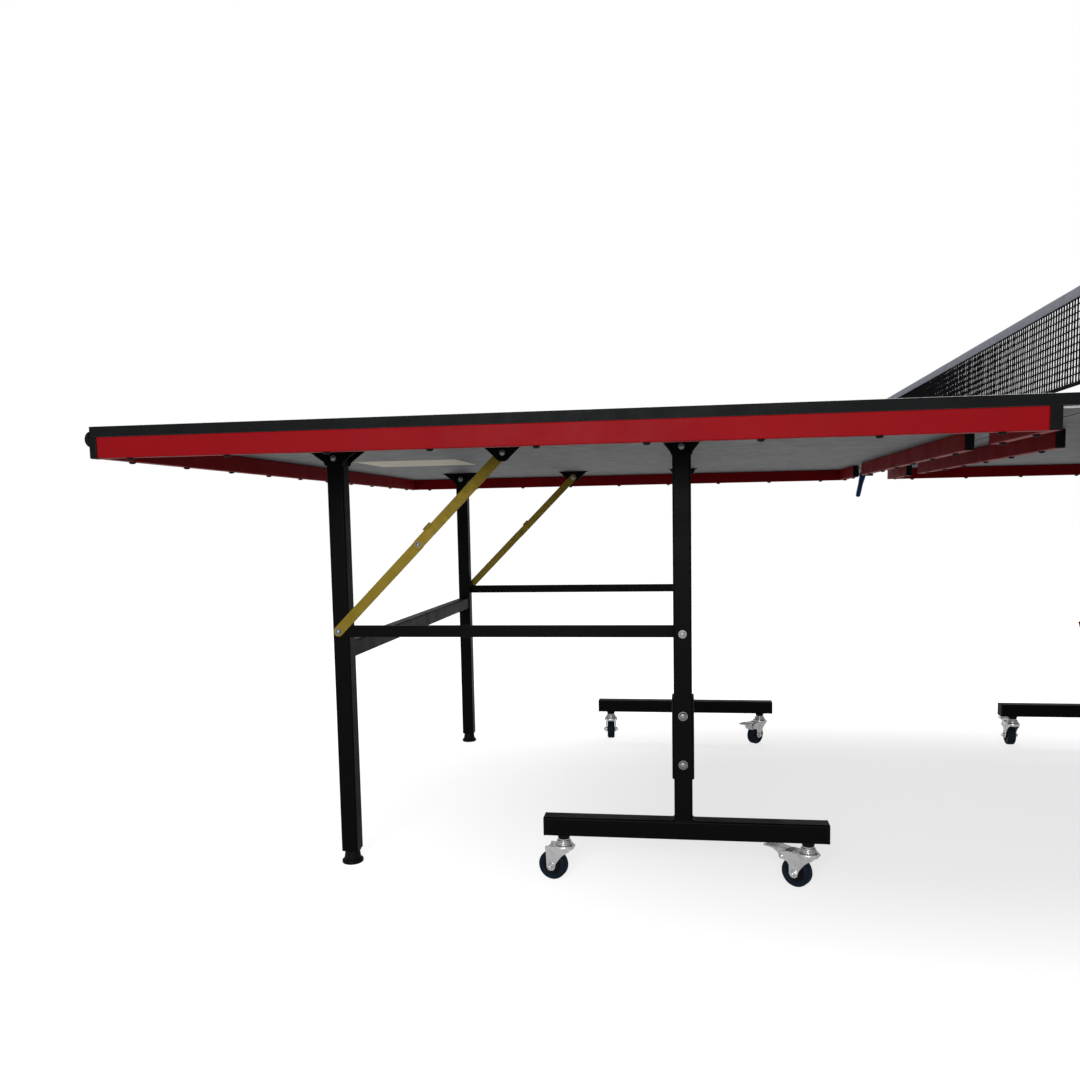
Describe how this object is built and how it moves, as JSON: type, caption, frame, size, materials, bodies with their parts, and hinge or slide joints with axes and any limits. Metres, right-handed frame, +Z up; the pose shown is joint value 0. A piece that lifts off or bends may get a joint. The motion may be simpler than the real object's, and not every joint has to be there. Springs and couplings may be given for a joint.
{
  "type": "ping pong table",
  "caption": "Roll-away ping pong table: two folding halves with red rails on black wheeled carriages, braced end legs and a clamped net.",
  "frame": {"origin": "on the floor under the middle of the table, at the net line", "axes": "+X along the table towards the right half, +Y across the table away from the near side, +Z up"},
  "size_m": [2.74, 1.846, 0.9165],
  "materials": {
    "board": "dark pressed board with a matt playing surface above and a bare grey sealed face below",
    "red_paint": "satin deep red powder coat",
    "black_paint": "satin black powder coat",
    "zinc": "zinc-plated pressed steel, dulled",
    "brass_plate": "yellow-passivated zinc plate",
    "tyre": "dark navy-black moulded tread",
    "blue_grip": "matt blue moulding",
    "netting": "open knotted mesh with a pale tape on top"
  },
  "bodies": {
    "left_carriage": {"left_carriage_frame": "black_paint", "left_near_base_tee": "black_paint", "left_far_base_tee": "black_paint"},
    "right_carriage": {"right_carriage_frame": "black_paint", "right_near_base_tee": "black_paint", "right_far_base_tee": "black_paint", "bat_holder": "red_paint"},
    "left_top": {"left_panel": "board", "left_apron_frame": "red_paint", "left_net_rail": "red_paint", "left_near_wheel_leg_bracket": "black_paint", "left_near_end_leg_bracket": "black_paint", "left_far_wheel_leg_bracket": "black_paint", "left_far_end_leg_bracket": "black_paint"},
    "left_end_legs": {"left_end_leg_frame": "black_paint"},
    "left_near_link": {"left_near_link_bar": "black_paint"},
    "left_near_upper_brace": {"left_near_upper_brace": "brass_plate"},
    "left_near_lower_brace": {"left_near_lower_brace": "brass_plate"},
    "left_near_outer_fork": {"left_near_outer_caster_fork": "zinc"},
    "left_near_outer_wheel": {"left_near_outer_caster_wheel": "tyre"},
    "left_near_inner_fork": {"left_near_inner_caster_fork": "zinc"},
    "left_near_inner_wheel": {"left_near_inner_caster_wheel": "tyre"},
    "left_near_inner_pedal": {"left_near_inner_brake_pedal": "zinc"},
    "left_far_link": {"left_far_link_bar": "black_paint"},
    "left_far_upper_brace": {"left_far_upper_brace": "brass_plate"},
    "left_far_lower_brace": {"left_far_lower_brace": "brass_plate"},
    "left_far_outer_fork": {"left_far_outer_caster_fork": "zinc"},
    "left_far_outer_wheel": {"left_far_outer_caster_wheel": "tyre"},
    "left_far_inner_fork": {"left_far_inner_caster_fork": "zinc"},
    "left_far_inner_wheel": {"left_far_inner_caster_wheel": "tyre"},
    "left_far_inner_pedal": {"left_far_inner_brake_pedal": "zinc"},
    "right_top": {"right_panel": "board", "right_apron_frame": "red_paint", "right_net_rail": "red_paint", "right_near_wheel_leg_bracket": "black_paint", "right_near_end_leg_bracket": "black_paint", "right_far_wheel_leg_bracket": "black_paint", "right_far_end_leg_bracket": "black_paint"},
    "right_end_legs": {"right_end_leg_frame": "black_paint"},
    "right_near_link": {"right_near_link_bar": "black_paint"},
    "right_near_upper_brace": {"right_near_upper_brace": "brass_plate"},
    "right_near_lower_brace": {"right_near_lower_brace": "brass_plate"},
    "right_near_outer_fork": {"right_near_outer_caster_fork": "zinc"},
    "right_near_outer_wheel": {"right_near_outer_caster_wheel": "tyre"},
    "right_near_inner_fork": {"right_near_inner_caster_fork": "zinc"},
    "right_near_inner_wheel": {"right_near_inner_caster_wheel": "tyre"},
    "right_near_inner_pedal": {"right_near_inner_brake_pedal": "zinc"},
    "right_far_link": {"right_far_link_bar": "black_paint"},
    "right_far_upper_brace": {"right_far_upper_brace": "brass_plate"},
    "right_far_lower_brace": {"right_far_lower_brace": "brass_plate"},
    "right_far_outer_fork": {"right_far_outer_caster_fork": "zinc"},
    "right_far_outer_wheel": {"right_far_outer_caster_wheel": "tyre"},
    "right_far_inner_fork": {"right_far_inner_caster_fork": "zinc"},
    "right_far_inner_wheel": {"right_far_inner_caster_wheel": "tyre"},
    "right_far_inner_pedal": {"right_far_inner_brake_pedal": "zinc"},
    "near_clamp_lever": {"near_clamp_lever": "blue_grip"},
    "far_clamp_lever": {"far_clamp_lever": "blue_grip"},
    "net_set": {"net": "netting", "near_net_post": "black_paint", "far_net_post": "black_paint"}
  },
  "joints": [
    {"name": "left_fold", "type": "hinge", "parent": "left_carriage", "child": "left_top", "pos_m": [-0.528, 0, 0.728], "axis": [0, 1, 0], "range_deg": [0, 84]},
    {"name": "left_end_leg_fold", "type": "hinge", "parent": "left_top", "child": "left_end_legs", "pos_m": [-1.127, 0, 0.728], "axis": [0, 1, 0], "range_deg": [-84, 0]},
    {"name": "left_near_link_turn", "type": "hinge", "parent": "left_carriage", "child": "left_near_link", "pos_m": [-0.528, -0.4605, 0.426], "axis": [0, 1, 0], "range_deg": [0, 84]},
    {"name": "left_near_upper_brace_turn", "type": "hinge", "parent": "left_top", "child": "left_near_upper_brace", "pos_m": [-0.825, -0.4705, 0.728], "axis": [0, 1, 0], "range_deg": [0, 43.8]},
    {"name": "left_near_lower_brace_turn", "type": "hinge", "parent": "left_near_upper_brace", "child": "left_near_lower_brace", "pos_m": [-0.976, -0.4667, 0.577], "axis": [0, 1, 0], "range_deg": [-171.6, 0]},
    {"name": "left_near_outer_swivel", "type": "hinge", "parent": "left_carriage", "child": "left_near_outer_fork", "pos_m": [-0.731, -0.484, 0.073], "axis": [0, 0, 1], "continuous": true},
    {"name": "left_near_outer_roll", "type": "hinge", "parent": "left_near_outer_fork", "child": "left_near_outer_wheel", "pos_m": [-0.75032, -0.47882, 0.025], "axis": [-0.2588, -0.9659, 0], "continuous": true},
    {"name": "left_near_inner_swivel", "type": "hinge", "parent": "left_carriage", "child": "left_near_inner_fork", "pos_m": [-0.325, -0.484, 0.073], "axis": [0, 0, 1], "continuous": true},
    {"name": "left_near_inner_roll", "type": "hinge", "parent": "left_near_inner_fork", "child": "left_near_inner_wheel", "pos_m": [-0.34138, -0.47253, 0.025], "axis": [-0.5736, -0.8192, 0], "continuous": true},
    {"name": "left_near_inner_pedal_press", "type": "hinge", "parent": "left_near_inner_fork", "child": "left_near_inner_pedal", "pos_m": [-0.3594, -0.45991, 0.049], "axis": [-0.5736, -0.8192, 0], "range_deg": [0, 12]},
    {"name": "left_far_link_turn", "type": "hinge", "parent": "left_carriage", "child": "left_far_link", "pos_m": [-0.528, 0.4605, 0.426], "axis": [0, 1, 0], "range_deg": [0, 84]},
    {"name": "left_far_upper_brace_turn", "type": "hinge", "parent": "left_top", "child": "left_far_upper_brace", "pos_m": [-0.825, 0.4705, 0.728], "axis": [0, 1, 0], "range_deg": [0, 43.8]},
    {"name": "left_far_lower_brace_turn", "type": "hinge", "parent": "left_far_upper_brace", "child": "left_far_lower_brace", "pos_m": [-0.976, 0.4667, 0.577], "axis": [0, 1, 0], "range_deg": [-171.6, 0]},
    {"name": "left_far_outer_swivel", "type": "hinge", "parent": "left_carriage", "child": "left_far_outer_fork", "pos_m": [-0.731, 0.484, 0.073], "axis": [0, 0, 1], "continuous": true},
    {"name": "left_far_outer_roll", "type": "hinge", "parent": "left_far_outer_fork", "child": "left_far_outer_wheel", "pos_m": [-0.73274, 0.50392, 0.025], "axis": [-0.9962, -0.0872, 0], "continuous": true},
    {"name": "left_far_inner_swivel", "type": "hinge", "parent": "left_carriage", "child": "left_far_inner_fork", "pos_m": [-0.325, 0.484, 0.073], "axis": [0, 0, 1], "continuous": true},
    {"name": "left_far_inner_roll", "type": "hinge", "parent": "left_far_inner_fork", "child": "left_far_inner_wheel", "pos_m": [-0.33786, 0.46868, 0.025], "axis": [0.766, -0.6428, 0], "continuous": true},
    {"name": "left_far_inner_pedal_press", "type": "hinge", "parent": "left_far_inner_fork", "child": "left_far_inner_pedal", "pos_m": [-0.352, 0.45183, 0.049], "axis": [0.766, -0.6428, 0], "range_deg": [0, 12]},
    {"name": "halves_apart", "type": "slide", "parent": "left_carriage", "child": "right_carriage", "axis": [1, 0, 0], "range_m": [0, 0.4]},
    {"name": "right_fold", "type": "hinge", "parent": "right_carriage", "child": "right_top", "pos_m": [0.528, 0, 0.728], "axis": [0, -1, 0], "range_deg": [0, 84]},
    {"name": "right_end_leg_fold", "type": "hinge", "parent": "right_top", "child": "right_end_legs", "pos_m": [1.127, 0, 0.728], "axis": [0, -1, 0], "range_deg": [-84, 0]},
    {"name": "right_near_link_turn", "type": "hinge", "parent": "right_carriage", "child": "right_near_link", "pos_m": [0.528, -0.4605, 0.426], "axis": [0, -1, 0], "range_deg": [0, 84]},
    {"name": "right_near_upper_brace_turn", "type": "hinge", "parent": "right_top", "child": "right_near_upper_brace", "pos_m": [0.825, -0.4705, 0.728], "axis": [0, -1, 0], "range_deg": [0, 43.8]},
    {"name": "right_near_lower_brace_turn", "type": "hinge", "parent": "right_near_upper_brace", "child": "right_near_lower_brace", "pos_m": [0.976, -0.4667, 0.577], "axis": [0, -1, 0], "range_deg": [-171.6, 0]},
    {"name": "right_near_outer_swivel", "type": "hinge", "parent": "right_carriage", "child": "right_near_outer_fork", "pos_m": [0.731, -0.484, 0.073], "axis": [0, 0, 1], "continuous": true},
    {"name": "right_near_outer_roll", "type": "hinge", "parent": "right_near_outer_fork", "child": "right_near_outer_wheel", "pos_m": [0.74979, -0.47716, 0.025], "axis": [-0.342, 0.9397, 0], "continuous": true},
    {"name": "right_near_inner_swivel", "type": "hinge", "parent": "right_carriage", "child": "right_near_inner_fork", "pos_m": [0.325, -0.484, 0.073], "axis": [0, 0, 1], "continuous": true},
    {"name": "right_near_inner_roll", "type": "hinge", "parent": "right_near_inner_fork", "child": "right_near_inner_wheel", "pos_m": [0.30862, -0.49547, 0.025], "axis": [0.5736, -0.8192, 0], "continuous": true},
    {"name": "right_near_inner_pedal_press", "type": "hinge", "parent": "right_near_inner_fork", "child": "right_near_inner_pedal", "pos_m": [0.2906, -0.50809, 0.049], "axis": [0.5736, -0.8192, 0], "range_deg": [0, 12]},
    {"name": "right_far_link_turn", "type": "hinge", "parent": "right_carriage", "child": "right_far_link", "pos_m": [0.528, 0.4605, 0.426], "axis": [0, -1, 0], "range_deg": [0, 84]},
    {"name": "right_far_upper_brace_turn", "type": "hinge", "parent": "right_top", "child": "right_far_upper_brace", "pos_m": [0.825, 0.4705, 0.728], "axis": [0, -1, 0], "range_deg": [0, 43.8]},
    {"name": "right_far_lower_brace_turn", "type": "hinge", "parent": "right_far_upper_brace", "child": "right_far_lower_brace", "pos_m": [0.976, 0.4667, 0.577], "axis": [0, -1, 0], "range_deg": [-171.6, 0]},
    {"name": "right_far_outer_swivel", "type": "hinge", "parent": "right_carriage", "child": "right_far_outer_fork", "pos_m": [0.731, 0.484, 0.073], "axis": [0, 0, 1], "continuous": true},
    {"name": "right_far_outer_roll", "type": "hinge", "parent": "right_far_outer_fork", "child": "right_far_outer_wheel", "pos_m": [0.74832, 0.474, 0.025], "axis": [0.5, 0.866, 0], "continuous": true},
    {"name": "right_far_inner_swivel", "type": "hinge", "parent": "right_carriage", "child": "right_far_inner_fork", "pos_m": [0.325, 0.484, 0.073], "axis": [0, 0, 1], "continuous": true},
    {"name": "right_far_inner_roll", "type": "hinge", "parent": "right_far_inner_fork", "child": "right_far_inner_wheel", "pos_m": [0.3257, 0.50399, 0.025], "axis": [-0.9994, 0.0349, 0], "continuous": true},
    {"name": "right_far_inner_pedal_press", "type": "hinge", "parent": "right_far_inner_fork", "child": "right_far_inner_pedal", "pos_m": [0.32647, 0.52597, 0.049], "axis": [-0.9994, 0.0349, 0], "range_deg": [0, 12]},
    {"name": "near_clamp_lever_turn", "type": "hinge", "parent": "left_top", "child": "near_clamp_lever", "pos_m": [-0.012, -0.742, 0.728], "axis": [0, 1, 0], "range_deg": [0, 50]},
    {"name": "far_clamp_lever_turn", "type": "hinge", "parent": "left_top", "child": "far_clamp_lever", "pos_m": [-0.012, 0.742, 0.728], "axis": [0, 1, 0], "range_deg": [0, 50]},
    {"name": "net_lift", "type": "slide", "parent": "left_carriage", "child": "net_set", "axis": [0, 0, 1], "range_m": [0, 0.3]}
  ],
  "couplings": [
    {"joint": "left_end_leg_fold", "follows": "left_fold", "ratio": -1},
    {"joint": "left_near_link_turn", "follows": "left_fold", "ratio": 1},
    {"joint": "left_near_upper_brace_turn", "follows": "left_fold", "ratio": 0.5209},
    {"joint": "left_near_lower_brace_turn", "follows": "left_fold", "ratio": -2.0418},
    {"joint": "left_far_link_turn", "follows": "left_fold", "ratio": 1},
    {"joint": "left_far_upper_brace_turn", "follows": "left_fold", "ratio": 0.5209},
    {"joint": "left_far_lower_brace_turn", "follows": "left_fold", "ratio": -2.0418},
    {"joint": "right_end_leg_fold", "follows": "right_fold", "ratio": -1},
    {"joint": "right_near_link_turn", "follows": "right_fold", "ratio": 1},
    {"joint": "right_near_upper_brace_turn", "follows": "right_fold", "ratio": 0.5209},
    {"joint": "right_near_lower_brace_turn", "follows": "right_fold", "ratio": -2.0418},
    {"joint": "right_far_link_turn", "follows": "right_fold", "ratio": 1},
    {"joint": "right_far_upper_brace_turn", "follows": "right_fold", "ratio": 0.5209},
    {"joint": "right_far_lower_brace_turn", "follows": "right_fold", "ratio": -2.0418}
  ]
}
